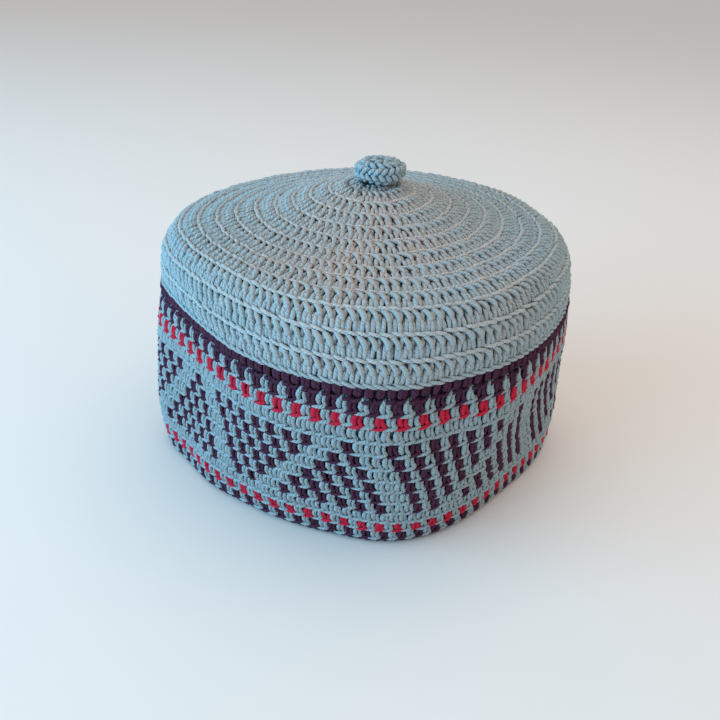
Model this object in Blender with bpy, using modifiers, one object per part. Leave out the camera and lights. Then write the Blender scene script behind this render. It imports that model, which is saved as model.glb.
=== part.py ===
"""A crocheted kufi: a round cap with a raised crown, an upright patterned side, a dark hem that it stands
on and a small crocheted button just beside the middle of the crown. The cap is hollow and open below.

Run it with blender --background --python part.py. Lengths are metres, +Z is up and the front faces -Y.
The origin is in the middle of the hat's plan, on the surface that the hem stands on.
"""

import math

import bmesh
import bpy
from mathutils import Vector

# The cloth and how closely the pieces meet
WALL = 0.0028
GAP = 0.0003

# The outer surface from the hem up to the middle of the crown: mean radius and height of each place
PROFILE = {
    "hem": (0.0836, 0.0),
    "low side": (0.0884, 0.0208),
    "middle of the side": (0.0911, 0.0417),
    "high side": (0.0929, 0.0625),
    "crown edge": (0.0921, 0.0833),
    "low shoulder": (0.0914, 0.0930),
    "shoulder": (0.0889, 0.1022),
    "top of the shoulder": (0.0825, 0.1088),
    "flat of the crown": (0.0700, 0.1116),
    "foot of the rise": (0.0495, 0.1153),
    "rise": (0.0260, 0.1222),
    "round the button": (0.0102, 0.1269),
    "peak": (0.0, 0.1277),
}
CROWN_EDGE = PROFILE["crown edge"][1]
PEAK = PROFILE["peak"][1]
FULL_RADIUS = 0.092

# The plan is not a circle. Each lobing is a share of the radius, and stands out most at its angle in
# degrees, counted from +X towards +Y, and at the angles that repeat it round the hat. The columns are
# the number of lobes, the share and angle at the hem, and the share and angle at the crown edge.
LOBES = (
    (2, 0.056, 12.0, 0.035, 92.0),
    (3, 0.004, 42.0, 0.022, 50.0),
    (4, 0.062, 8.6, 0.022, 1.0),
)

# Soft places where the cloth is pressed in, or stands out where the depth is negative. The columns are
# the angle and height of the middle, the depth, and the half widths in degrees and in height.
DENTS = (
    (40.0, 0.1070, -0.0024, 14.0, 0.008),
    (19.0, 0.1030, 0.0016, 9.0, 0.010),
    (211.0, 0.0530, 0.0060, 25.0, 0.036),
    (203.0, 0.0180, 0.0035, 11.0, 0.035),
    (188.0, 0.0100, -0.0040, 9.0, 0.058),
    (262.0, 0.0300, 0.0040, 13.0, 0.050),
    (290.0, 0.0650, 0.0040, 10.0, 0.020),
    (339.0, 0.0400, 0.0050, 21.0, 0.028),
)

HEM_HEIGHT = 0.0027
HEM_PROUD = 0.0003

BUTTON_RADIUS = 0.0110
BUTTON_HEIGHT = 0.0095
BUTTON_FOOT = 0.0072
BUTTON_CORNER = 2.6
BUTTON_OFF_CENTRE = 0.0030

# Facets: around the hat, along each piece's profile, and on the button
AROUND = 72
CROWN_STEPS = 15
SIDE_STEPS = 7
BUTTON_AROUND = 24
BUTTON_STEPS = 10
CURVE_STEPS = 12

# Each piece's colour, and the roughness that all of them have
LIGHT_BLUE = (0.42, 0.56, 0.60, 1.0)
BAND_MIX = (0.30, 0.34, 0.41, 1.0)
DARK_PURPLE = (0.075, 0.055, 0.095, 1.0)
BUTTON_BLUE = (0.36, 0.54, 0.62, 1.0)
COTTON_ROUGHNESS = 0.9


def clear_scene():
    for old in list(bpy.data.objects):
        bpy.data.objects.remove(old, do_unlink=True)


def smooth_profile():
    """(radius, height) points from the hem to the peak, on a smooth curve through PROFILE's places."""
    knots = [Vector(place) for place in PROFILE.values()]
    before = 2 * knots[0] - knots[1]
    after = Vector((-knots[-2].x, knots[-2].y))
    knots = [before, *knots, after]
    points = []
    for a, b, c, d in zip(knots, knots[1:], knots[2:], knots[3:]):
        into = (c - a) * (c - b).length / ((b - a).length + (c - b).length)
        out_of = (d - b) * (c - b).length / ((c - b).length + (d - c).length)
        for step in range(CURVE_STEPS):
            t = step / CURVE_STEPS
            points.append(
                b * (2 * t**3 - 3 * t**2 + 1)
                + into * (t**3 - 2 * t**2 + t)
                + c * (3 * t**2 - 2 * t**3)
                + out_of * (t**3 - t**2)
            )
    points.append(knots[-2])
    return points


def at_height(points, height):
    """The point of a rising profile that lies at this height."""
    for low, high in zip(points, points[1:]):
        if low.y <= height <= high.y:
            return low.lerp(high, (height - low.y) / (high.y - low.y))
    raise ValueError("height outside the profile")


def evenly(points, steps):
    """steps + 1 points at equal distances along the profile."""
    lengths = [0.0]
    for a, b in zip(points, points[1:]):
        lengths.append(lengths[-1] + (b - a).length)
    spaced = []
    k = 0
    for step in range(steps + 1):
        wanted = lengths[-1] * step / steps
        while k < len(points) - 2 and lengths[k + 1] < wanted:
            k += 1
        share = (wanted - lengths[k]) / (lengths[k + 1] - lengths[k])
        spaced.append(points[k].lerp(points[k + 1], share))
    return spaced


def inside(points, depth):
    """The profile moved into the hat by depth, square to itself. On the axis it moves straight down."""
    moved = []
    for k, point in enumerate(points):
        along = points[min(k + 1, len(points) - 1)] - points[max(k - 1, 0)]
        if point.x < 1e-9:
            along = Vector((-1.0, 0.0))
        along.normalize()
        moved.append(point + Vector((-along.y, along.x)) * depth)
    return moved


def lobed(radius, height, angle):
    """The real radius at an angle, where the mean one is radius."""
    up = min(max(height / CROWN_EDGE, 0.0), 1.0)
    fade = min(radius / FULL_RADIUS, 1.0) ** 2
    swell = 0.0
    for lobes, hem_share, hem_angle, crown_share, crown_angle in LOBES:
        at_hem = hem_share * math.cos(lobes * (angle - math.radians(hem_angle)))
        at_crown = crown_share * math.cos(lobes * (angle - math.radians(crown_angle)))
        swell += at_hem * (1 - up) + at_crown * up
    real = radius * (1 + swell * fade)
    for middle, middle_height, depth, wide, high in DENTS:
        aside = math.remainder(angle - math.radians(middle), 2 * math.pi) / math.radians(wide)
        above = (height - middle_height) / high
        real -= depth * fade * math.exp(-(aside**2) - above**2)
    return real


def on_axis(radius, height, angle):
    """A point of the hat before it is centred on the origin."""
    real = lobed(radius, height, angle)
    return Vector((real * math.cos(angle), real * math.sin(angle), height))


def angles():
    return [2 * math.pi * k / AROUND for k in range(AROUND)]


def plan_centre(points):
    """The middle of the hat's plan, from the widest places of its outline."""
    outline = [on_axis(p.x, p.y, a) for p in points for a in angles()]
    xs = [p.x for p in outline]
    ys = [p.y for p in outline]
    return Vector(((min(xs) + max(xs)) / 2, (min(ys) + max(ys)) / 2, 0.0))


def material(name, colour):
    made = bpy.data.materials.new(name)
    made.use_nodes = True
    shader = made.node_tree.nodes["Principled BSDF"]
    shader.inputs["Base Color"].default_value = colour
    shader.inputs["Roughness"].default_value = COTTON_ROUGHNESS
    shader.inputs["Metallic"].default_value = 0.0
    made.diffuse_color = colour
    return made


def new_object(name, mesh, colour, group):
    mesh.materials.append(material(name, colour))
    made = bpy.data.objects.new(name, mesh)
    group.objects.link(made)
    return made


def lofted(name, section, closed, centre, colour, group):
    """A ring or a dome that carries a section of (radius, height) points round the lobed plan. A closed
    section makes a ring. An open one starts and ends on the axis, and its ends are drawn to a point."""
    bm = bmesh.new()
    rings = []
    for point in section:
        if point.x < 1e-9:
            rings.append([bm.verts.new(on_axis(0.0, point.y, 0.0) - centre)])
            continue
        rings.append([bm.verts.new(on_axis(point.x, point.y, a) - centre) for a in angles()])
    following = rings[1:] + (rings[:1] if closed else [])
    for ring, after in zip(rings, following):
        for k in range(AROUND):
            n = (k + 1) % AROUND
            if len(ring) == 1:
                bm.faces.new((ring[0], after[n], after[k]))
            elif len(after) == 1:
                bm.faces.new((ring[k], ring[n], after[0]))
            else:
                bm.faces.new((ring[k], ring[n], after[n], after[k]))
    bmesh.ops.recalc_face_normals(bm, faces=bm.faces)
    mesh = bpy.data.meshes.new(name)
    bm.to_mesh(mesh)
    bm.free()
    mesh.shade_smooth()
    mesh.set_sharp_from_angle(angle=math.radians(40))
    return new_object(name, mesh, colour, group)


def between(points, low, high):
    """The stretch of the profile between two heights, with its ends exactly there."""
    middle = [p for p in points if low < p.y < high]
    return [at_height(points, low), *middle, at_height(points, high)]


def side_section(points, low, high, steps, proud=0.0, wall=WALL):
    """The closed section of an upright piece: up its outer face and down its inner one, flat at both ends."""
    outer = evenly(between(points, low, high), steps)
    outer = [p + Vector((proud, 0.0)) for p in outer]
    inner = [p - Vector((wall, 0.0)) for p in reversed(outer)]
    return outer + inner


def make_crown(points, centre, group):
    """The top of the hat, from the roped edge over the shoulder to the peak under the button."""
    above = [p for p in points if p.y > CROWN_EDGE]
    outer = evenly([at_height(points, CROWN_EDGE), *above], CROWN_STEPS)
    outer[-1].x = 0.0
    inner = inside(outer, WALL)
    inner[0] = outer[0] - Vector((WALL, 0.0))
    section = list(reversed(outer)) + inner
    return lofted("crown", section, False, centre, LIGHT_BLUE, group)


def make_side_band(points, centre, group):
    """The upright side, which carries the pattern."""
    section = side_section(points, HEM_HEIGHT + GAP, CROWN_EDGE - GAP, SIDE_STEPS)
    return lofted("side_band", section, True, centre, BAND_MIX, group)


def make_hem_trim(points, centre, group):
    """The dark round along the opening, with the flat face that the hat stands on."""
    section = side_section(points, 0.0, HEM_HEIGHT, 1, HEM_PROUD, WALL + 2 * HEM_PROUD)
    return lofted("hem_trim", section, True, centre, DARK_PURPLE, group)


def button_profile():
    """(radius, height) points down the button's outer side: a flat pad with full round edges."""
    half = BUTTON_HEIGHT / 2
    points = []
    for step in range(BUTTON_STEPS + 1):
        turn = math.pi / 2 - math.pi * step / BUTTON_STEPS
        radius = BUTTON_RADIUS * abs(math.cos(turn)) ** (2 / BUTTON_CORNER)
        height = half * math.copysign(abs(math.sin(turn)) ** (2 / BUTTON_CORNER), turn)
        points.append((radius, half + height))
    points[0] = (0.0, BUTTON_HEIGHT)
    points[-1] = (BUTTON_FOOT, 0.0)
    return [*points, (0.0, 0.0)]


def make_top_button(centre, group):
    """The small pad on top of the crown, a turned shape that sits just on the peak, a little to one side."""
    mesh = bpy.data.meshes.new("top_button")
    profile = [(radius, 0.0, height) for radius, height in button_profile()]
    mesh.from_pydata(profile, [(k, k + 1) for k in range(len(profile) - 1)], [])
    button = new_object("top_button", mesh, BUTTON_BLUE, group)
    screw = button.modifiers.new("turned", "SCREW")
    screw.axis = "Z"
    screw.steps = BUTTON_AROUND
    screw.render_steps = BUTTON_AROUND
    screw.use_merge_vertices = True
    screw.merge_threshold = 0.00001
    button.location = Vector((BUTTON_OFF_CENTRE, 0.0, PEAK + GAP)) - centre
    return button


def main():
    clear_scene()
    group = bpy.data.collections.new("kufi")
    bpy.context.scene.collection.children.link(group)
    points = smooth_profile()
    centre = plan_centre(points)
    make_crown(points, centre, group)
    make_side_band(points, centre, group)
    make_hem_trim(points, centre, group)
    make_top_button(centre, group)


main()
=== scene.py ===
"""The look of the crocheted kufi: every stitch is yarn, laid on the surface that the CAD model has.

A place on the hat is given by how far round it lies (in turns, counted from +X towards +Y), how far up the
side and over the crown (metres along the profile, from the hem), and how far out of the surface.
"""

import math

import bpy
import numpy as np
from mathutils import Matrix, Vector


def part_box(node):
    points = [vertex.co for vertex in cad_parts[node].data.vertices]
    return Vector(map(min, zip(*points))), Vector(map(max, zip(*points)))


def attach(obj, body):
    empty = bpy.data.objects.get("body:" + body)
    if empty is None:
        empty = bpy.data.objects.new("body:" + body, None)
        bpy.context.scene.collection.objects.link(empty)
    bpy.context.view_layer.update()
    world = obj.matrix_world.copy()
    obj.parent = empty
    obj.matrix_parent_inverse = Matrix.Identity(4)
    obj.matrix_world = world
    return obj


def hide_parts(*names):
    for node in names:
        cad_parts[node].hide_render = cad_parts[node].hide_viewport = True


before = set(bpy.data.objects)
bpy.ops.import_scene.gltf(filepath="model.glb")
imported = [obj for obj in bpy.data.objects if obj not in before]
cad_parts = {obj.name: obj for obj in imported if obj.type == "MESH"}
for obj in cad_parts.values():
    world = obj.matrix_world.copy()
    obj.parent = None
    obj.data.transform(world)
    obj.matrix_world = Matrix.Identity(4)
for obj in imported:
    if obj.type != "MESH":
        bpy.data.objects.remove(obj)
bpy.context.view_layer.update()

# The hat's surface, as the CAD model has it: the mean radius and height of each place from the hem to the
# peak, the lobes of the plan as shares of the radius, and the soft dents. A negative depth is a swell. The
# lobes and dents fade towards the crown's middle, and are whole where the mean radius is FULL_RADIUS.
PROFILE = (
    (0.0836, 0.0),
    (0.0884, 0.0208),
    (0.0911, 0.0417),
    (0.0929, 0.0625),
    (0.0921, 0.0833),
    (0.0914, 0.0930),
    (0.0889, 0.1022),
    (0.0825, 0.1088),
    (0.0700, 0.1116),
    (0.0495, 0.1153),
    (0.0260, 0.1222),
    (0.0102, 0.1269),
    (0.0, 0.1277),
)
CURVE_STEPS = 16
CROWN_EDGE = 0.0833
FULL_RADIUS = 0.092
LOBES = (
    # lobes, share at the hem, angle at the hem, share at the crown, angle at the crown
    (2, 0.056, 12.0, 0.035, 92.0),
    (3, 0.004, 42.0, 0.022, 50.0),
    (4, 0.062, 8.6, 0.022, 1.0),
)
DENTS = (
    # angle, height, depth, half width in degrees, half width in height
    (40.0, 0.1070, -0.0024, 14.0, 0.008),
    (19.0, 0.1030, 0.0016, 9.0, 0.010),
    (211.0, 0.0530, 0.0060, 25.0, 0.036),
    (203.0, 0.0180, 0.0035, 11.0, 0.035),
    (188.0, 0.0100, -0.0040, 9.0, 0.058),
    (262.0, 0.0300, 0.0040, 13.0, 0.050),
    (290.0, 0.0650, 0.0040, 10.0, 0.020),
    (339.0, 0.0400, 0.0050, 21.0, 0.028),
)
BUTTON_RADIUS = 0.0110
BUTTON_HEIGHT = 0.0095
BUTTON_CORNER = 2.6
BUTTON_OFF_CENTRE = 0.0030

# How deep under the surface the yarn's bed and the front and back of the cloth beneath it lie, how far the
# stitches' backs swell into the hat in the band and the crown, and how many the crown has round it
YARN_BED = 0.0017
CLOTH_FRONT = 0.0018
CLOTH_BACK = 0.0027
BAND_RELIEF = 0.0006
CROWN_RELIEF = 0.0011
CROWN_BACKS = 70

# The band's rounds, counted from the crown down. Each is a little less high than the one above it, and
# its stitches lie a part of a stitch further round. In round START_ROUND they start at FIRST_STITCH.
STITCHES = 140
BAND_ROUNDS = 13
BAND_TOP = 0.0846
FIRST_ROUND_HEIGHT = 0.0070
ROUND_SHRINKS = 0.000112
FIRST_STITCH = 0.65
STEP_PER_ROUND = 0.645
START_ROUND = 3

# The hem round: its height, how far round its first stitch lies in stitches, and how far behind the front
# strands the back ones lie, in millimetres
HEM_HEIGHT = 0.0027
HEM_FIRST_STITCH = 0.3
HEM_BEHIND = 1.6

# The pattern: rounds 5 to 10 hold stepped triangles that repeat every 20 stitches. In each repeat one
# hangs and grows narrower on the way down, and one stands and grows wider up to its own last column.
REPEAT = 20
FIRST_COLUMN = 6
MOTIF_ROUNDS = range(5, 11)
HANGING_WIDTH = 12
STANDING_END = 16

# Where each colour stands in a piece's materials. The fourth place is for the crown's ridges, paler with
# painted highlight and wear, or for the front of the cloth, which is painted shadow.
LIGHT, DARK, RED, RIDGE = 0, 1, 2, 3
SHADOW = 3

# The crown's rounds: how far from its middle they start and the first ridge lies, the rounds' widths and
# the width of a stitch
CROWN_START = 0.0042
FIRST_RIDGE = 0.0106
FLAT_ROUNDS, FLAT_WIDTH = 9, 0.0083
EDGE_ROUNDS, EDGE_WIDTH = 3, 0.0096
STITCH_WIDTH = 0.00415

# The button: the steps of its side's profile and how much of the way down to its foot that goes, its
# rounds, how far from its middle and its foot they start and end, the width of one stitch, how deep the
# yarn's bed and the stuffed core lie, and the core's facets
BUTTON_STEPS = 60
BUTTON_DOWN = 0.97
BUTTON_ROUNDS = 6
BUTTON_START, BUTTON_END = 0.0008, 0.0004
BUTTON_STITCH = 0.0031
BUTTON_BED = 0.0015
CORE_DEPTH = 0.0013
CORE_ROWS, CORE_AROUND = 24, 48

# The place on the crown's front round which the yarn is worn warmer and paler, how deep the ridges are
# rubbed into the stitches there and how far from it, and the distances between which the wear fades
HANDLED = (0.0, -0.045, 0.115)
RUBBED_DEPTH = 0.0008
RUBBED_REACH = 0.046
WORN_REACH = (0.015, 0.080)

# The yarn's plies: how many show round it, how long one turn of their twist is and how deep they are cut,
# between which heights out of the bed the yarn goes from its painted shade to its colour, and how much a
# soft grain changes that
PLIES = 3
PLY_LENGTH = 0.0013
PLY_DEPTH = 0.00013
SHADED = (-0.3, 1.1)
GRAIN = 0.5

# How far the rounds drift up or down, in metres, and the stitches sideways, in turns
ROUND_DRIFT = 0.0005
STITCH_DRIFT = 0.0014

# The waves that they drift in: how many go round the hat, how they turn on the way up in radians a metre
# and where they start in radians. Below STEADY_HEM, in metres, the rounds drift less and less.
DRIFT_WAVES = ((5, 150.0, 0.0), (2, -40.0, 1.0))
SLIP_WAVE = (6, -70.0, 0.0)
STEADY_HEM = 0.02

# How uneven the work is, as standard deviations: a strand's place along the round in stitches, down it in
# rounds and out of the bed in millimetres, its thickness as a share, its lean in stitches, and its tone
UNEVEN_ALONG, UNEVEN_DOWN, UNEVEN_OUT = 0.045, 0.022, 0.12
UNEVEN_THICKNESS, UNEVEN_LEAN, UNEVEN_TONE = 0.07, 0.10, 0.16

# The dark yarn is a little thinner than its tables say and the others a little thicker. All of it is
# pressed thinner where stitches crowd towards the crown's middle.
DARK_YARN, OTHER_YARN = 0.93, 1.05
MOST_CROWDED, PRESSED = 0.35, 0.7

# The margins in the bake coordinates: of a strand's own cell at its ends and sides, and of a shell's two
# faces round the hat and along it, all as shares of the room
CELL_END = 0.08
CELL_SIDE = 0.1
SHELL_SIDE = 0.02
SHELL_END = 0.03

# The lamps: a wide cool one from the left, one above and a warm one from the right. The columns are the
# name, the place, the width, the height, the power and the colour. All are aimed at the hat's middle.
MIDDLE = (0.0, 0.0, 0.06)
LAMPS = (
    ("key", (-1.1, -0.45, 0.38), 1.6, 0.7, 20.5, (0.23, 0.68, 1.0)),
    ("top", (0.15, 0.10, 1.1), 0.9, 0.9, 3.2, (1.0, 0.84, 0.70)),
    ("fill", (1.0, -0.4, 0.3), 0.9, 0.9, 1.4, (1.0, 0.74, 0.48)),
)

# Strands of one stitch. The columns are: along the round in stitches, down the round in rounds, out of
# the bed in millimetres, and the yarn's radius in millimetres.
BAND_LEFT_LEG = (
    (0.02, -0.04, -0.4, 0.55),
    (-0.13, 0.10, 0.80, 0.86),
    (-0.25, 0.32, 1.20, 0.98),
    (-0.26, 0.55, 1.25, 0.98),
    (-0.14, 0.77, 1.05, 0.86),
    (-0.02, 0.94, 0.2, 0.60),
)
BAND_RIGHT_LEG = (
    (0.28, -0.02, -0.4, 0.50),
    (0.31, 0.12, 0.60, 0.72),
    (0.20, 0.33, 0.90, 0.80),
    (0.19, 0.52, 1.10, 0.90),
    (0.34, 0.71, 1.25, 0.92),
    (0.50, 0.87, 0.8, 0.68),
)
BAND_FOOT = (
    (0.60, 0.74, 0.3, 0.55),
    (0.46, 0.87, 1.35, 0.86),
    (0.10, 0.94, 1.65, 0.86),
    (-0.32, 0.99, 1.50, 0.74),
    (-0.72, 1.04, 1.15, 0.58),
    (-1.08, 1.09, 0.4, 0.34),
)
BAND_FIRST_LEFT_LEG = (
    (0.00, -0.04, -0.6, 0.40),
    (-0.10, 0.16, 0.70, 0.90),
    (-0.17, 0.42, 1.65, 1.30),
    (-0.15, 0.66, 1.55, 1.25),
    (-0.06, 0.86, 0.60, 0.80),
    (0.00, 1.00, -0.4, 0.40),
)
BAND_FIRST_RIGHT_LEG = (
    (0.10, -0.02, -0.6, 0.40),
    (0.12, 0.16, 0.60, 0.80),
    (0.12, 0.40, 1.40, 1.10),
    (0.11, 0.64, 1.45, 1.12),
    (0.13, 0.84, 0.80, 0.80),
    (0.20, 1.00, 0.0, 0.45),
)
BAND_FIRST_FOOT = (
    (0.36, 0.96, 0.0, 0.45),
    (0.26, 1.04, 0.90, 0.80),
    (0.00, 1.11, 1.40, 0.94),
    (-0.28, 1.14, 1.25, 0.84),
    (-0.50, 1.14, 0.55, 0.56),
    (-0.68, 1.14, -0.2, 0.36),
)
BAND_CARRIED = (
    (-0.62, 0.74, -0.4, 0.50),
    (-0.34, 0.80, 0.45, 0.60),
    (-0.05, 0.78, -0.4, 0.50),
)
CROWN_WRAP = (
    (-0.60, 0.02, -0.3, 0.55),
    (-0.44, 0.10, 0.90, 0.82),
    (-0.16, 0.19, 1.30, 1.00),
    (0.08, 0.34, 1.40, 1.10),
    (0.16, 0.50, 1.10, 0.95),
    (0.06, 0.62, 0.2, 0.60),
)
CROWN_ARM = (
    (0.42, 0.05, -0.4, 0.55),
    (0.41, 0.20, 0.45, 0.88),
    (0.37, 0.38, 0.50, 0.88),
    (0.30, 0.56, 0.0, 0.60),
)
CROWN_LEFT_LEG = (
    (-0.16, 0.30, 0.0, 0.55),
    (-0.12, 0.52, 0.95, 0.86),
    (-0.15, 0.78, 1.00, 0.84),
    (-0.18, 1.00, 0.0, 0.65),
)
CROWN_RIGHT_LEG = (
    (0.16, 0.42, 0.2, 0.60),
    (0.26, 0.60, 1.00, 0.86),
    (0.27, 0.80, 1.00, 0.84),
    (0.26, 1.02, 0.0, 0.65),
)
CROWN_INFILL = (
    (0.55, 0.38, -0.6, 0.60),
    (0.55, 0.60, 0.15, 0.88),
    (0.56, 0.84, 0.40, 0.92),
    (0.56, 1.02, -0.3, 0.70),
)
CROWN_RIDGE = (
    (-0.84, 0.91, 0.4, 0.42),
    (-0.42, 0.95, 1.40, 0.66),
    (0.00, 0.99, 1.65, 0.75),
    (0.42, 1.03, 1.50, 0.66),
    (0.84, 1.07, 0.4, 0.42),
)
# The strands of one double crochet, with the steps along each and the sides round it
CROWN_STRANDS = (
    (CROWN_WRAP, 6, 6),
    (CROWN_ARM, 4, 6),
    (CROWN_LEFT_LEG, 4, 6),
    (CROWN_RIGHT_LEG, 4, 6),
    (CROWN_INFILL, 3, 5),
)
ROPE_STRAND = (
    (-1.05, 0.88, 0.2, 0.40),
    (-0.55, 0.92, 1.35, 0.62),
    (-0.02, 0.97, 1.75, 0.71),
    (0.46, 1.03, 1.60, 0.64),
    (0.88, 1.09, 0.8, 0.38),
)
HEM_STRAND = (
    (-0.75, 0.40, -0.1, 0.45),
    (-0.35, 0.46, 0.75, 0.90),
    (0.05, 0.50, 0.95, 1.05),
    (0.45, 0.54, 0.70, 0.90),
    (0.80, 0.60, -0.2, 0.45),
)
BUTTON_STRAND = (
    (-0.62, -0.08, -0.3, 0.55),
    (-0.34, 0.20, 0.60, 1.05),
    (0.00, 0.50, 0.95, 1.20),
    (0.34, 0.80, 0.60, 1.05),
    (0.62, 1.08, -0.3, 0.55),
)

chance = np.random.default_rng(11)


def curve_weights(count, steps):
    """The (steps + 1, count) weights that read a smooth curve through count points."""
    weights = np.zeros((steps + 1, count))
    for k in range(steps + 1):
        x = k * (count - 1) / steps
        i = min(int(x), count - 2)
        t = x - i
        basis = (
            -0.5 * t**3 + t**2 - 0.5 * t,
            1.5 * t**3 - 2.5 * t**2 + 1,
            -1.5 * t**3 + 2 * t**2 + 0.5 * t,
            0.5 * t**3 - 0.5 * t**2,
        )
        for j, share in zip((i - 1, i, i + 1, i + 2), basis):
            weights[k, min(max(j, 0), count - 1)] += share
    return weights


def lobed(radius, height, angle):
    """The real radius at an angle, where the mean one is radius."""
    up = np.clip(height / CROWN_EDGE, 0.0, 1.0)
    swell = 0.0
    for lobes, hem_share, hem_angle, crown_share, crown_angle in LOBES:
        at_hem = hem_share * np.cos(lobes * (angle - math.radians(hem_angle)))
        at_crown = crown_share * np.cos(lobes * (angle - math.radians(crown_angle)))
        swell = swell + at_hem * (1 - up) + at_crown * up
    fade = np.minimum(radius / FULL_RADIUS, 1.0) ** 2
    real = radius * (1 + swell * fade)
    for middle, middle_height, depth, wide, high in DENTS:
        aside = (angle - math.radians(middle) + math.pi) % (2 * math.pi) - math.pi
        above = (height - middle_height) / high
        real = real - depth * fade * np.exp(-((aside / math.radians(wide)) ** 2) - above**2)
    return real


def round_plan(radius, height, angle):
    """The plan of a turned shape, for which every angle has the same radius."""
    return radius + 0 * angle


def smooth_profile():
    """The CAD model's profile from the hem to the peak, as (radius, height) points."""
    knots = [Vector(place) for place in PROFILE]
    knots = [2 * knots[0] - knots[1], *knots, Vector((-knots[-2].x, knots[-2].y))]
    points = []
    for a, b, c, d in zip(knots, knots[1:], knots[2:], knots[3:]):
        into = (c - a) * (c - b).length / ((b - a).length + (c - b).length)
        out_of = (d - b) * (c - b).length / ((c - b).length + (d - c).length)
        for step in range(CURVE_STEPS):
            t = step / CURVE_STEPS
            points.append(
                b * (2 * t**3 - 3 * t**2 + 1)
                + into * (t**3 - 2 * t**2 + t)
                + c * (3 * t**2 - 2 * t**3)
                + out_of * (t**3 - t**2)
            )
    points.append(knots[-2])
    return np.array(points)


def button_profile():
    """The button's side from near its foot to its middle, as (radius, height) points above its foot."""
    turn = np.linspace(-math.pi / 2 * BUTTON_DOWN, math.pi / 2, BUTTON_STEPS)
    radius = BUTTON_RADIUS * np.abs(np.cos(turn)) ** (2 / BUTTON_CORNER)
    height = np.sign(turn) * np.abs(np.sin(turn)) ** (2 / BUTTON_CORNER)
    return np.stack([radius, BUTTON_HEIGHT / 2 * (1 + height)], axis=1)


class Surface:
    """A surface that a profile and a plan give, as a grid of points at even steps along it and round it."""

    ALONG = 260
    AROUND = 720
    FINE_AROUND = 1441
    LEAST_RADIUS = 0.0003

    def __init__(self, profile, plan, axis):
        steps = np.hypot(*np.diff(profile, axis=0).T)
        along = np.concatenate([[0.0], np.cumsum(steps)])
        self.length = along[-1]
        self.levels = np.linspace(0.0, self.length, self.ALONG)
        self.radius = np.interp(self.levels, along, profile[:, 0])
        self.height = np.interp(self.levels, along, profile[:, 1])
        fine = np.linspace(0.0, 2 * math.pi, self.FINE_AROUND)
        turns = np.linspace(0.0, 1.0, self.AROUND + 1)
        rings = []
        self.girth = []
        for radius, height in zip(self.radius, self.height):
            radius = max(radius, self.LEAST_RADIUS)
            real = plan(radius, height, fine)
            line = np.stack([real * np.cos(fine), real * np.sin(fine)], axis=1)
            far = np.concatenate([[0.0], np.cumsum(np.hypot(*np.diff(line, axis=0).T))])
            self.girth.append(far[-1])
            angle = np.interp(turns, far / far[-1], fine)
            real = plan(radius, height, angle)
            rings.append(
                np.stack([real * np.cos(angle), real * np.sin(angle), 0 * angle + height], axis=1)
            )
        points = np.array(rings) + np.array(axis)
        up = np.gradient(points, axis=0)
        around = np.empty_like(points)
        around[:, 1:-1] = points[:, 2:] - points[:, :-2]
        around[:, 0] = around[:, -1] = points[:, 1] - points[:, -2]
        out = np.cross(around, up)
        out /= np.linalg.norm(out, axis=2, keepdims=True)
        self.points, self.out = points, out
        self.girth = np.array(self.girth)

    def at_height(self, height):
        """Metres along the profile to a height."""
        return np.interp(height, self.height, self.levels)

    def girth_at(self, along):
        """The length once round the surface."""
        return np.interp(along, self.levels, self.girth)

    def place(self, turns, along, out):
        """Points that lie out metres off the surface, and the directions out of it there. Where along is
        negative, the place lies that far straight below the hem."""
        row = np.clip(along / self.length, 0, 1) * (len(self.levels) - 1)
        i = np.minimum(row.astype(int), len(self.levels) - 2)
        column = np.mod(turns, 1.0) * self.AROUND
        j = np.minimum(column.astype(int), self.AROUND - 1)
        a, b = (row - i)[..., None], (column - j)[..., None]
        found = []
        for grid in (self.points, self.out):
            low = grid[i, j] * (1 - b) + grid[i, j + 1] * b
            high = grid[i + 1, j] * (1 - b) + grid[i + 1, j + 1] * b
            found.append(low * (1 - a) + high * a)
        beyond = np.maximum(-along, 0.0)[..., None] * np.array([0.0, 0.0, -1.0])
        return found[0] + found[1] * out[..., None] + beyond, found[1]


def wandering(turns, along):
    """Hand work is never quite even: the rounds and the stitches drift a little off their true places."""
    angle = 2 * math.pi * turns

    def wave(many, climb, start):
        return np.sin(many * angle + climb * along + start)

    above_hem = np.clip(along / STEADY_HEM, 0.0, 1.0)
    drift = ROUND_DRIFT * wave(*DRIFT_WAVES[0]) * wave(*DRIFT_WAVES[1])
    slip = STITCH_DRIFT * wave(*SLIP_WAVE)
    return turns + slip, along + drift * above_hem


def quads(values, beyond):
    """The corner values of the quads between a tube's rings. A quad lies between a point of a ring and the
    next point round it, whose values are in beyond."""
    return np.stack([values[:, :-1], beyond[:, :-1], beyond[:, 1:], values[:, 1:]], axis=-1)


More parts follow.
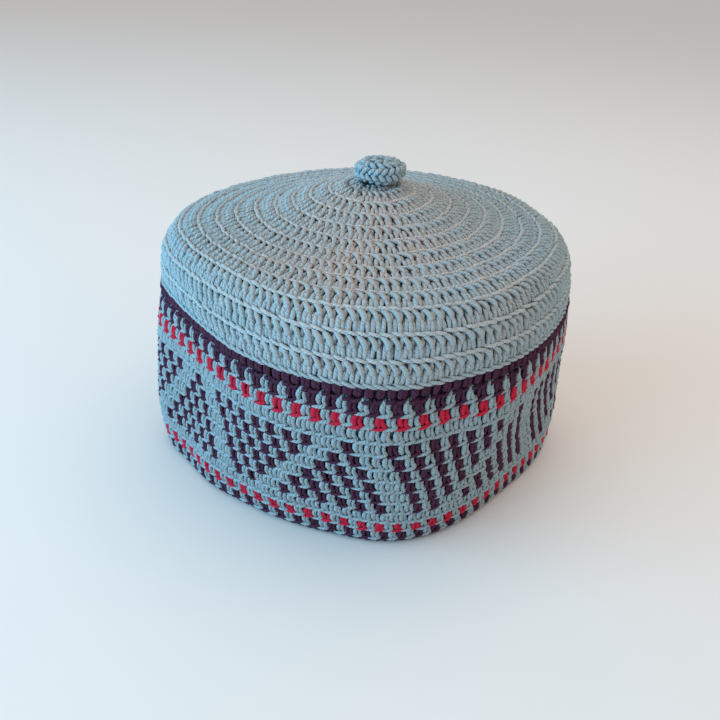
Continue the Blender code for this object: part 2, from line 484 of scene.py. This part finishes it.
class Yarn:
    """Collects strands on a surface and makes them one mesh of closed tubes."""

    def __init__(self, surface, bed):
        self.surface, self.bed = surface, bed
        self.tubes = []

    def lay(self, strand, centre, pitch, top, bottom, colour, steps, sides, loose=1.0, sunk=0.0):
        """Lays one strand for each stitch of a round that lies between top and bottom. The stitches'
        centres are in turns, and pitch is a stitch's width in turns. Colour and sunk, which is how much
        deeper the strands lie than their table says, hold one value for all or one for each stitch."""
        shape = curve_weights(len(strand), steps) @ np.array(strand)
        many = len(centre)
        shift = chance.normal(0, UNEVEN_ALONG * loose, (many, 1))
        drop = chance.normal(0, UNEVEN_DOWN * loose, (many, 1))
        lift = chance.normal(0, UNEVEN_OUT * loose, (many, 1))
        thick = 1 + chance.normal(0, UNEVEN_THICKNESS * loose, (many, 1))
        lean = chance.normal(0, UNEVEN_LEAN * loose, (many, 1))
        tone = chance.normal(0, UNEVEN_TONE, (many, 1))
        s = shape[:, 0] + shift + lean * (shape[:, 1] - 0.5)
        t = shape[:, 1] + drop
        turns = centre[:, None] + s * pitch
        along = top + (bottom - top) * t
        turns, along = wandering(turns, along)
        out = (shape[:, 2] + lift * (shape[:, 2] > 0)) * 0.001 - self.bed
        out = out - np.broadcast_to(sunk, many)[:, None]
        middle, normal = self.surface.place(turns, along, out)
        room = self.surface.girth_at(along) * pitch / STITCH_WIDTH
        radius = shape[:, 3] * thick * np.clip(room, MOST_CROWDED, 1.0) ** PRESSED * 0.001
        yarn_share = np.where(np.broadcast_to(colour, many) == DARK, DARK_YARN, OTHER_YARN)
        radius = radius * yarn_share[:, None]
        ahead = np.gradient(middle, axis=1)
        ahead /= np.linalg.norm(ahead, axis=2, keepdims=True)
        side = np.cross(ahead, normal)
        side /= np.linalg.norm(side, axis=2, keepdims=True)
        up = np.cross(side, ahead)
        turn = 2 * math.pi * np.arange(sides) / sides
        ring = (
            middle[:, :, None]
            + up[:, :, None] * (radius[:, :, None] * np.cos(turn))[..., None]
            + side[:, :, None] * (radius[:, :, None] * np.sin(turn))[..., None]
        )
        length = np.linalg.norm(np.diff(middle, axis=1), axis=2).cumsum(axis=1)
        length = np.concatenate([np.zeros((many, 1)), length], axis=1)
        # Painted shade: the colour darkens where a strand lies deep and on its side that faces into the hat
        painted_shade_height = np.clip(out + self.bed, -0.001, 0.002) * 1000 + tone
        depth = painted_shade_height[..., None] + np.cos(turn) * 0.5
        self.tubes.append((ring, length, depth, np.broadcast_to(colour, many)))

    def mesh(self, name):
        """One mesh of all the strands. The "yarn" coordinates are metres along a strand and the turn round
        it, and OFBake gives each strand a cell of its own in a square grid."""
        strands = sum(len(ring) for ring, *_ in self.tubes)
        grid = math.ceil(math.sqrt(strands))
        points, depths, faces, uvs, bakes, materials = [], [], [], [], [], []
        first_point = first_strand = 0
        for ring, length, depth, colour in self.tubes:
            many, steps, sides, _ = ring.shape
            index = first_point + np.arange(many * steps * sides).reshape(many, steps, sides)
            strand = first_strand + np.arange(many)
            column, row = strand % grid, strand // grid
            far = length[:, :, None] + 0 * depth
            turn = np.broadcast_to(np.arange(sides) / sides, far.shape)
            share = np.broadcast_to(np.linspace(CELL_END, 1 - CELL_END, steps)[None, :, None], far.shape)
            across = 1 - 2 * CELL_SIDE
            next_turn = turn + 1 / sides
            faces.append(quads(index, np.roll(index, -1, axis=2)).reshape(-1, 4))
            uvs.append(np.stack([quads(far, far), quads(turn, next_turn)], -1).reshape(-1, 4, 2))
            around = quads(turn * across + CELL_SIDE, next_turn * across + CELL_SIDE)
            corner = np.stack([quads(share, share), around], -1)
            cell = np.stack([column, row], -1)[:, None, None, None]
            bakes.append(((cell + corner) / grid).reshape(-1, 4, 2))
            materials.append(np.repeat(colour, (steps - 1) * sides))
            for end, cap in ((CELL_END, index[:, 0, ::-1]), (1 - CELL_END, index[:, -1])):
                faces.append(cap)
                uvs.append(np.zeros((many, sides, 2)))
                spot = np.stack([column + end, row + 0.5], -1)[:, None]
                bakes.append(np.broadcast_to(spot / grid, (many, sides, 2)))
                materials.append(colour)
            points.append(ring.reshape(-1, 3))
            depths.append(depth.reshape(-1))
            first_point += many * steps * sides
            first_strand += many
        points, depths = np.concatenate(points), np.concatenate(depths)
        return build_mesh(name, points, faces, uvs, bakes, materials, depths)


def build_mesh(name, points, faces, uvs, bakes, materials, depths):
    """A smooth mesh from arrays of faces, each array with faces of one size. Its float attribute holds how
    far out of the bed the yarn lies, higher on each strand's outer side, and tells the materials where to
    paint shade."""
    mesh = bpy.data.meshes.new(name)
    sizes = np.concatenate([np.full(len(f), f.shape[1]) for f in faces])
    corners = np.concatenate([f.reshape(-1) for f in faces])
    mesh.vertices.add(len(points))
    mesh.vertices.foreach_set("co", points.astype(np.float32).reshape(-1))
    mesh.loops.add(len(corners))
    mesh.loops.foreach_set("vertex_index", corners.astype(np.int32))
    mesh.polygons.add(len(sizes))
    starts = np.concatenate([[0], np.cumsum(sizes)[:-1]])
    mesh.polygons.foreach_set("loop_start", starts.astype(np.int32))
    mesh.polygons.foreach_set("material_index", np.concatenate(materials).astype(np.int32))
    for layer, values in (("OFBake", bakes), ("yarn", uvs)):
        flat = np.concatenate([value.reshape(-1) for value in values])
        mesh.uv_layers.new(name=layer).data.foreach_set("uv", flat.astype(np.float32))
    mesh.uv_layers["OFBake"].active_render = True
    attribute = mesh.attributes.new("painted_shade_height", "FLOAT", "POINT")
    attribute.data.foreach_set("value", depths.astype(np.float32))
    mesh.update(calc_edges=True)
    mesh.shade_smooth()
    return mesh


def shell(name, surface, low, high, rows, around, relief, look, closed_top=False):
    """The cloth under the yarn: a closed ring, or a cap, with a plain front painted dark as shadow, in the
    dark yarn's cloth under dark stitches, and a back that has the stitches' relief and colours."""
    along = np.linspace(low, high, rows + 1)
    turns = np.arange(around) / around
    grid_turns, grid_along = np.meshgrid(turns, along)
    front, _ = surface.place(grid_turns, grid_along, 0 * grid_turns - CLOTH_FRONT)
    back, _ = surface.place(grid_turns, grid_along, relief(grid_turns, grid_along) - CLOTH_BACK)
    index = np.arange((rows + 1) * around).reshape(rows + 1, around)
    after = np.roll(index, -1, axis=1)
    outer = np.stack([index[:-1], after[:-1], after[1:], index[1:]], -1).reshape(-1, 4)
    many = index.size
    inner = outer[:, ::-1] + many
    bottom = np.stack([index[0], index[0] + many, after[0] + many, after[0]], -1)
    points = [front.reshape(-1, 3), back.reshape(-1, 3)]
    faces = [outer, inner, bottom]
    middle_turn = (grid_turns[:-1] + 0.5 / around).reshape(-1)
    middle_along = ((grid_along[:-1] + grid_along[1:]) / 2).reshape(-1)
    looks = look(middle_turn, middle_along)
    # The front is painted shadow, except under dark stitches, where it takes the dark yarn's cloth
    shadow = np.where(looks == DARK, DARK, SHADOW)
    materials = [shadow, looks, np.full(around, LIGHT)]
    if closed_top:
        peaks = np.array([front[-1].mean(axis=0), back[-1].mean(axis=0)])
        points.append(peaks)
        top = np.stack([index[-1], after[-1], np.full(around, 2 * many)], -1)
        under = np.stack([after[-1] + many, index[-1] + many, np.full(around, 2 * many + 1)], -1)
        faces += [top, under]
        materials += [np.full(around, SHADOW), np.full(around, LIGHT)]
    else:
        top = np.stack([index[-1], after[-1], after[-1] + many, index[-1] + many], -1)
        faces.append(top)
        materials.append(np.full(around, LIGHT))
    points = np.concatenate(points)
    uvs = [np.zeros((len(f), f.shape[1], 2)) for f in faces]
    bakes = unrolled(faces, points, around, rows, many)
    return build_mesh(name, points, faces, uvs, bakes, materials, np.zeros(len(points)))


def unrolled(faces, points, around, rows, many):
    """Bake coordinates of a shell: its two faces lie unrolled side by side, and the faces that join them
    reach from one to the other."""
    found = []
    for face in faces:
        layer = (face >= many).astype(float)
        local = np.where(face >= many, face - many, face)
        column = local % around
        row = np.minimum(local // around, rows + 1)
        wide = column.max(axis=1, keepdims=True)
        column = np.where((column == 0) & (wide > around / 2), around, column)
        u = column / around * (1 - 2 * SHELL_SIDE) + SHELL_SIDE
        v = (row / (rows + 1) * (1 - 2 * SHELL_END) + SHELL_END + layer) / 2
        found.append(np.stack([u, v], -1))
    return found


def stitch_colour(this_round, column):
    """LIGHT, DARK or RED for a column of stitches in one of the band's rounds."""
    if this_round == 1:
        return DARK
    if this_round in (2, 3):
        return (DARK, RED)[this_round - 2] if column % 2 == 0 else LIGHT
    if this_round in (12, 13):
        return (RED, DARK)[this_round - 12] if column % 2 == 1 else LIGHT
    if this_round in MOTIF_ROUNDS:
        place = (column - FIRST_COLUMN) % REPEAT
        step = 2 * (this_round - MOTIF_ROUNDS[0])
        hanging = place <= HANGING_WIDTH - step
        standing = STANDING_END - step <= place <= STANDING_END
        if place % 2 == 0 and (hanging or standing):
            return DARK
    return LIGHT


def turned_by(this_round):
    """How far round the first stitch of one of the band's rounds lies, in stitches."""
    return FIRST_STITCH + STEP_PER_ROUND * (this_round - START_ROUND)


def band_edges():
    """Heights of the band's rounds: the top of the first, then the bottom of each."""
    heights = [BAND_TOP]
    for k in range(BAND_ROUNDS):
        heights.append(heights[-1] - FIRST_ROUND_HEIGHT + ROUND_SHRINKS * k)
    return heights


def crown_edges(surface):
    """Metres along the profile to the crown's ridges, from the innermost down to the crown's edge."""
    from_middle = [FIRST_RIDGE + FLAT_WIDTH * k for k in range(FLAT_ROUNDS + 1)]
    from_middle += [from_middle[-1] + EDGE_WIDTH * (k + 1) for k in range(EDGE_ROUNDS)]
    room = surface.length - surface.at_height(CROWN_EDGE)
    return [surface.length - far * room / from_middle[-1] for far in from_middle]


def settle(tree, socket, value):
    """Gives a node's input a constant, or links it to another node's output."""
    if isinstance(value, bpy.types.NodeSocket):
        tree.links.new(value, socket)
    else:
        socket.default_value = value


def maths(tree, operation, *values):
    """A Math node with these inputs."""
    node = tree.nodes.new("ShaderNodeMath")
    node.operation = operation
    for socket, value in zip(node.inputs, values):
        settle(tree, socket, value)
    return node


def ranged(tree, value, given, wanted):
    """Maps a value from the given range to the wanted one and keeps it in that."""
    node = tree.nodes.new("ShaderNodeMapRange")
    settle(tree, node.inputs["Value"], value)
    for name, number in zip(("From Min", "From Max", "To Min", "To Max"), (*given, *wanted)):
        settle(tree, node.inputs[name], number)
    return node.outputs["Result"]


def noise(tree, place, scale, detail):
    node = tree.nodes.new("ShaderNodeTexNoise")
    settle(tree, node.inputs["Vector"], place)
    settle(tree, node.inputs["Scale"], scale)
    settle(tree, node.inputs["Detail"], detail)
    return node.outputs["Fac"]


def mixed(tree, share, first, second):
    """A mix of two colours, of which the second has this share."""
    node = tree.nodes.new("ShaderNodeMix")
    node.data_type = "RGBA"
    settle(tree, node.inputs["Factor"], share)
    settle(tree, node.inputs["A"], first)
    settle(tree, node.inputs["B"], second)
    return node.outputs["Result"]


def bump(tree, height, strength, distance):
    node = tree.nodes.new("ShaderNodeBump")
    settle(tree, node.inputs["Height"], height)
    settle(tree, node.inputs["Strength"], strength)
    settle(tree, node.inputs["Distance"], distance)
    return node


def worn_share(tree, place):
    """How worn the yarn is: most near the HANDLED place, and in patches."""
    away = tree.nodes.new("ShaderNodeVectorMath")
    away.operation = "DISTANCE"
    settle(tree, away.inputs[0], place)
    settle(tree, away.inputs[1], HANDLED)
    near = ranged(tree, away.outputs["Value"], WORN_REACH, (1.0, 0.0))
    patches = ranged(tree, noise(tree, place, scale=40.0, detail=2.0), (0.38, 0.62), (0.55, 1.0))
    return maths(tree, "MULTIPLY", near, patches).outputs["Value"]


def yarn_colour(tree, place, colour, painted_shade, worn):
    """The yarn's colour, worn paler in patches, mixed with its painted shade where it lies deep and on the
    side of each strand that faces into the hat. A soft noise moves the mix a little."""
    painted_shade_height = tree.nodes.new("ShaderNodeAttribute")
    painted_shade_height.attribute_name = "painted_shade_height"
    depth = ranged(tree, painted_shade_height.outputs["Fac"], SHADED, (0.0, 1.0))
    grain = noise(tree, place, scale=180.0, detail=3.0)
    soft = maths(tree, "MULTIPLY_ADD", grain, GRAIN, -GRAIN / 2)
    light = maths(tree, "ADD", depth, soft.outputs["Value"])
    light.use_clamp = True
    bright = (*colour, 1)
    if worn:
        bright = mixed(tree, worn_share(tree, place), bright, (*worn, 1))
    return mixed(tree, light.outputs["Value"], (*painted_shade, 1), bright)


def twist(tree):
    """The height of the yarn's twisted plies, as a wave that winds along each strand."""
    uv = tree.nodes.new("ShaderNodeUVMap")
    uv.uv_map = "yarn"
    split = tree.nodes.new("ShaderNodeSeparateXYZ")
    settle(tree, split.inputs["Vector"], uv.outputs["UV"])
    around = maths(tree, "MULTIPLY", split.outputs["Y"], 2 * math.pi * PLIES)
    along = 2 * math.pi / PLY_LENGTH
    wound = maths(tree, "MULTIPLY_ADD", split.outputs["X"], along, around.outputs["Value"])
    return maths(tree, "SINE", wound.outputs["Value"]).outputs["Value"]


def yarn_material(name, colour, painted_shade, plies=True, worn=None):
    """Matt cotton with fine fibres and, where plies is true, its twist. It is nearer its painted shade
    where it lies deep and on each strand's inner side."""
    made = bpy.data.materials.new(name)
    made.use_nodes = True
    tree = made.node_tree
    shader = tree.nodes["Principled BSDF"]
    place = tree.nodes.new("ShaderNodeTexCoord").outputs["Object"]
    settle(tree, shader.inputs["Base Color"], yarn_colour(tree, place, colour, painted_shade, worn))
    surface = bump(tree, noise(tree, place, scale=2600.0, detail=2.0), strength=0.5, distance=0.0003)
    if plies:
        ridges = bump(tree, twist(tree), strength=1.0, distance=PLY_DEPTH)
        settle(tree, ridges.inputs["Normal"], surface.outputs["Normal"])
        surface = ridges
    settle(tree, shader.inputs["Normal"], surface.outputs["Normal"])
    settle(tree, shader.inputs["Roughness"], 0.88)
    settle(tree, shader.inputs["Specular IOR Level"], 0.2)
    return made


# Each yarn's second colour is its painted shade, which it takes where it lies deep and on each strand's
# inner side
BLUE = yarn_material(
    "light_blue_cotton", (0.38, 0.475, 0.515), (0.255, 0.275, 0.275), worn=(0.52, 0.465, 0.44)
)
# The ridges' yarn is paler: painted highlight where the proud ridges catch the light, and wear where they
# are rubbed
RIDGE_HIGHLIGHT_AND_WEAR = yarn_material(
    "light_blue_ridge_highlight_and_wear", (0.48, 0.55, 0.58), (0.40, 0.40, 0.39), worn=(0.64, 0.55, 0.51)
)
BAND_BLUE = yarn_material("band_blue_cotton", (0.345, 0.425, 0.46), (0.15, 0.185, 0.20))
PURPLE = yarn_material("dark_purple_cotton", (0.078, 0.024, 0.055), (0.014, 0.005, 0.011))
CRIMSON = yarn_material("crimson_cotton", (0.62, 0.020, 0.060), (0.34, 0.012, 0.032))
# Painted shadow: the plain dark colour of the cloth's front, which shows between the stitches
PAINTED_SHADOW_CLOTH = yarn_material("yarn_in_painted_shadow", (0.17, 0.21, 0.22), (0.11, 0.13, 0.14), plies=False)
BUTTON_BLUE = yarn_material("button_cotton", (0.38, 0.47, 0.51), (0.14, 0.32, 0.44))
# Painted shade: the button's core is darker than its yarn, so that the gaps between the stitches look dark
CORE_PAINTED_SHADE = yarn_material("button_core_painted_shade", (0.13, 0.25, 0.33), (0.10, 0.20, 0.28), plies=False)
BLUE_CLOTH = yarn_material("light_blue_cloth", (0.33, 0.47, 0.52), (0.25, 0.36, 0.40), plies=False)
PURPLE_CLOTH = yarn_material(
    "dark_purple_cloth", (0.045, 0.022, 0.055), (0.03, 0.015, 0.036), plies=False
)
CRIMSON_CLOTH = yarn_material("crimson_cloth", (0.42, 0.022, 0.045), (0.30, 0.015, 0.03), plies=False)


def add_piece(name, mesh, materials, nodes):
    """Puts a mesh in the scene as a piece of the hat that stands for CAD nodes."""
    for material in materials:
        mesh.materials.append(material)
    piece = bpy.data.objects.new(name, mesh)
    bpy.context.scene.collection.objects.link(piece)
    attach(piece, "root")
    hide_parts(*nodes)
    return piece


def lay_band(yarn, surface, rounds):
    """The band's stitches: two legs that hang from the round above and a foot along the round's bottom. In
    rounds of two colours the yarn that the round carries inside shows between the legs."""
    heights = band_edges()
    columns = np.arange(STITCHES)
    for k in rounds:
        top, bottom = surface.at_height(heights[k - 1]), surface.at_height(heights[k])
        centre = (columns + turned_by(k)) / STITCHES
        colour = np.array([stitch_colour(k, column) for column in columns])
        legs_and_foot = (BAND_LEFT_LEG, BAND_RIGHT_LEG, BAND_FOOT)
        if k == 1:
            legs_and_foot = (BAND_FIRST_LEFT_LEG, BAND_FIRST_RIGHT_LEG, BAND_FIRST_FOOT)
        for strand in legs_and_foot:
            yarn.lay(strand, centre, 1 / STITCHES, top, bottom, colour, steps=5, sides=5)
        if colour.min() < colour.max():
            carried = np.full(STITCHES, colour.max())
            yarn.lay(BAND_CARRIED, centre, 1 / STITCHES, top, bottom, carried, steps=2, sides=5)


def lay_crown(yarn, surface, rounds):
    """The crown's double crochets: each a wrap, an arm, two legs and the yarn behind them. A ridge, paler
    with painted highlight and wear, runs along the outer side of each round but the first, and a rope along
    the crown's edge."""
    edges = [surface.length - CROWN_START, *crown_edges(surface)]
    for k in rounds:
        top, bottom = edges[k], edges[k + 1]
        many = min(round(surface.girth_at(bottom) / STITCH_WIDTH), STITCHES)
        centre = (np.arange(many) + chance.random()) / many
        for strand, steps, sides in CROWN_STRANDS:
            yarn.lay(strand, centre, 1 / many, top, bottom, LIGHT, steps, sides)
        if k == len(edges) - 2:
            yarn.lay(ROPE_STRAND, centre, 1 / many, top, bottom, LIGHT, steps=7, sides=6, loose=0.5)
        elif k > 0:
            middle, _ = surface.place(centre, np.full(many, bottom), np.zeros(many))
            away = np.linalg.norm(middle - HANDLED, axis=1)
            sunk = RUBBED_DEPTH * np.exp(-((away / RUBBED_REACH) ** 2))
            yarn.lay(CROWN_RIDGE, centre, 1 / many, top, bottom, RIDGE, steps=6, sides=6, sunk=sunk)


def band_relief(turns, along):
    """The back of the band: each stitch a small bar that swells into the hat."""
    height = np.interp(along, hat.levels, hat.height)
    edges = np.array(band_edges())[::-1]
    this = np.interp(height, edges, np.arange(len(edges)))
    column = turns * STITCHES - STEP_PER_ROUND * (BAND_ROUNDS - this)
    stitch = np.abs(np.sin(math.pi * column))
    bar = np.abs(np.sin(math.pi * this)) ** 0.6 * (0.55 + 0.45 * stitch)
    return -BAND_RELIEF * bar


def band_looks(turns, along):
    """The colours of the stitches that places on the band belong to."""
    height = np.interp(along, hat.levels, hat.height)
    edges = band_edges()
    found = []
    for turn, high in zip(turns, height):
        this = next((k for k in range(1, BAND_ROUNDS + 1) if high > edges[k]), BAND_ROUNDS)
        column = round(turn * STITCHES - turned_by(this)) % STITCHES
        found.append(stitch_colour(this, column))
    return np.array(found)


def crown_relief(turns, along):
    """The back of the crown: its rounds are low ribs that swell into the hat."""
    edges = np.array(crown_edges(hat))[::-1]
    this = np.interp(along, edges, np.arange(len(edges)))
    stitch = np.abs(np.sin(math.pi * turns * CROWN_BACKS))
    bar = np.abs(np.sin(math.pi * this)) ** 0.8 * (0.75 + 0.25 * stitch)
    return -CROWN_RELIEF * bar


def crown_looks(turns, along):
    """The crown is light blue all over."""
    return np.full(len(turns), LIGHT)


def pad_core():
    """The stuffed core of the button, just under its stitches. Its dark colour is painted shade that shows
    between them.
    """
    levels = np.linspace(0.0, pad.length, CORE_ROWS)
    turns = np.arange(CORE_AROUND) / CORE_AROUND
    grid_turns, grid_along = np.meshgrid(turns, levels)
    points, _ = pad.place(grid_turns, grid_along, 0 * grid_turns - CORE_DEPTH)
    index = np.arange(CORE_ROWS * CORE_AROUND).reshape(CORE_ROWS, CORE_AROUND)
    after = np.roll(index, -1, axis=1)
    side = np.stack([index[:-1], after[:-1], after[1:], index[1:]], -1).reshape(-1, 4)
    faces = [side, index[:1, ::-1], index[-1:]]
    zeros = [np.zeros((len(f), f.shape[1], 2)) for f in faces]
    looks = [np.zeros(len(f)) for f in faces]
    points = points.reshape(-1, 3)
    return build_mesh("button_core", points, faces, zeros, zeros, looks, np.zeros(index.size))


def floor():
    mesh = bpy.data.meshes.new("floor")
    mesh.from_pydata([(-3, -3, 0), (3, -3, 0), (3, 3, 0), (-3, 3, 0)], [], [(0, 1, 2, 3)])
    made = bpy.data.materials.new("pale_floor")
    made.use_nodes = True
    shader = made.node_tree.nodes["Principled BSDF"]
    shader.inputs["Base Color"].default_value = (0.92, 0.89, 0.87, 1)
    shader.inputs["Roughness"].default_value = 0.9
    mesh.materials.append(made)
    plane = bpy.data.objects.new("floor", mesh)
    bpy.context.scene.collection.objects.link(plane)


def lamp(name, place, wide, high, power, colour):
    """A soft rectangular lamp that is aimed at the hat."""
    light = bpy.data.lights.new(name, "AREA")
    light.shape = "RECTANGLE"
    light.size = wide
    light.size_y = high
    light.energy = power
    light.color = colour
    made = bpy.data.objects.new(name, light)
    made.location = place
    made.rotation_euler = (Vector(MIDDLE) - Vector(place)).to_track_quat("-Z", "Y").to_euler()
    bpy.context.scene.collection.objects.link(made)


# The hat's axis is found from the button, which sits a little to the right of it
button_low, button_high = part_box("top_button")
axis = (button_low + button_high) / 2
pad = Surface(button_profile(), round_plan, (axis.x, axis.y, button_low.z))
axis.x -= BUTTON_OFF_CENTRE
hat = Surface(smooth_profile(), lobed, (axis.x, axis.y, 0.0))

band_colours = (BAND_BLUE, PURPLE, CRIMSON)
crown_colours = (BLUE, PURPLE, CRIMSON, RIDGE_HIGHLIGHT_AND_WEAR)
cloths = (BLUE_CLOTH, PURPLE_CLOTH, CRIMSON_CLOTH, PAINTED_SHADOW_CLOTH)
for name, rounds in (
    ("band_top_rounds", range(1, 5)),
    ("band_upper_motif", range(5, 9)),
    ("band_lower_rounds", range(9, 14)),
):
    yarn = Yarn(hat, YARN_BED)
    lay_band(yarn, hat, rounds)
    add_piece(name, yarn.mesh(name), band_colours, ["side_band"])
for name, rounds in (
    ("crown_inner_rounds", range(0, 8)),
    ("crown_outer_rounds", range(8, 11)),
    ("crown_edge_rounds", range(11, 13)),
):
    yarn = Yarn(hat, YARN_BED)
    lay_crown(yarn, hat, rounds)
    add_piece(name, yarn.mesh(name), crown_colours, ["crown"])

# The hem is two rounds of strands, one at the front and one at the back
hem = Yarn(hat, YARN_BED)
hem_centres = (np.arange(STITCHES) + HEM_FIRST_STITCH) / STITCHES
hem_top = hat.at_height(HEM_HEIGHT)
inner_hem = tuple((s, t, out - HEM_BEHIND, r) for s, t, out, r in HEM_STRAND)
for strand in (HEM_STRAND, inner_hem):
    hem.lay(strand, hem_centres, 1 / STITCHES, hem_top, 0.0, DARK, steps=6, sides=6, loose=0.5)
add_piece("hem_round", hem.mesh("hem_round"), band_colours, ["hem_trim"])

crown_edge = hat.at_height(CROWN_EDGE)
band_cloth = shell(
    "band_cloth",
    hat,
    low=0.0012,
    high=crown_edge,
    rows=40,
    around=420,
    relief=band_relief,
    look=band_looks,
)
add_piece("band_cloth", band_cloth, cloths, ["side_band"])
crown_cloth = shell(
    "crown_cloth",
    hat,
    low=crown_edge + 0.0002,
    high=hat.length - 0.002,
    rows=78,
    around=280,
    relief=crown_relief,
    look=crown_looks,
    closed_top=True,
)
add_piece("crown_cloth", crown_cloth, cloths, ["crown"])

# The button's rounds, whose strands lean to one side and the other by turns
button = Yarn(pad, BUTTON_BED)
pad_edges = np.linspace(pad.length - BUTTON_START, BUTTON_END, BUTTON_ROUNDS + 1)
for k in range(BUTTON_ROUNDS):
    top, bottom = pad_edges[k], pad_edges[k + 1]
    many = max(5, round(pad.girth_at((top + bottom) / 2) / BUTTON_STITCH))
    centre = (np.arange(many) + chance.random()) / many
    lean = 1 if k % 2 else -1
    strand = tuple((lean * s, t, out, r) for s, t, out, r in BUTTON_STRAND)
    button.lay(strand, centre, 1 / many, top, bottom, LIGHT, steps=6, sides=8)
button_piece = add_piece(
    "button_stitches", button.mesh("button_stitches"), (BUTTON_BLUE,), ["top_button"]
)
add_piece("button_core", pad_core(), (CORE_PAINTED_SHADE,), ["top_button"])

floor()
for lamp_row in LAMPS:
    lamp(*lamp_row)
world = bpy.data.worlds.new("studio")
bpy.context.scene.world = world
world.use_nodes = True
world.node_tree.nodes["Background"].inputs["Color"].default_value = (1.0, 0.985, 0.965, 1)
world.node_tree.nodes["Background"].inputs["Strength"].default_value = 0.52
bpy.context.scene.view_settings.view_transform = "Standard"

# The camera: close to the hat, a little above it, and turned a little about its own line of sight
CAMERA_OFFSET = Vector((-0.0026, -0.3458, 0.2304))
CAMERA_DOWN = math.radians(28.82)
CAMERA_ROLL = math.radians(2.12)
CAMERA_LENS = 41.2
ahead = Vector((0.0, math.cos(CAMERA_DOWN), -math.sin(CAMERA_DOWN)))
straight_up = Vector((0.0, math.sin(CAMERA_DOWN), math.cos(CAMERA_DOWN)))
right = Vector((1, 0, 0)) * math.cos(CAMERA_ROLL) + straight_up * math.sin(CAMERA_ROLL)
up = right.cross(ahead)
camera = bpy.data.objects.new("camera", bpy.data.cameras.new("camera"))
bpy.context.scene.collection.objects.link(camera)
camera.data.lens = CAMERA_LENS
camera.data.sensor_width = 36.0
camera.matrix_world = Matrix.Translation(Vector((axis.x, axis.y, 0.0)) + CAMERA_OFFSET) @ Matrix(
    (right, up, -ahead)
).transposed().to_4x4()
bpy.context.scene.camera = camera
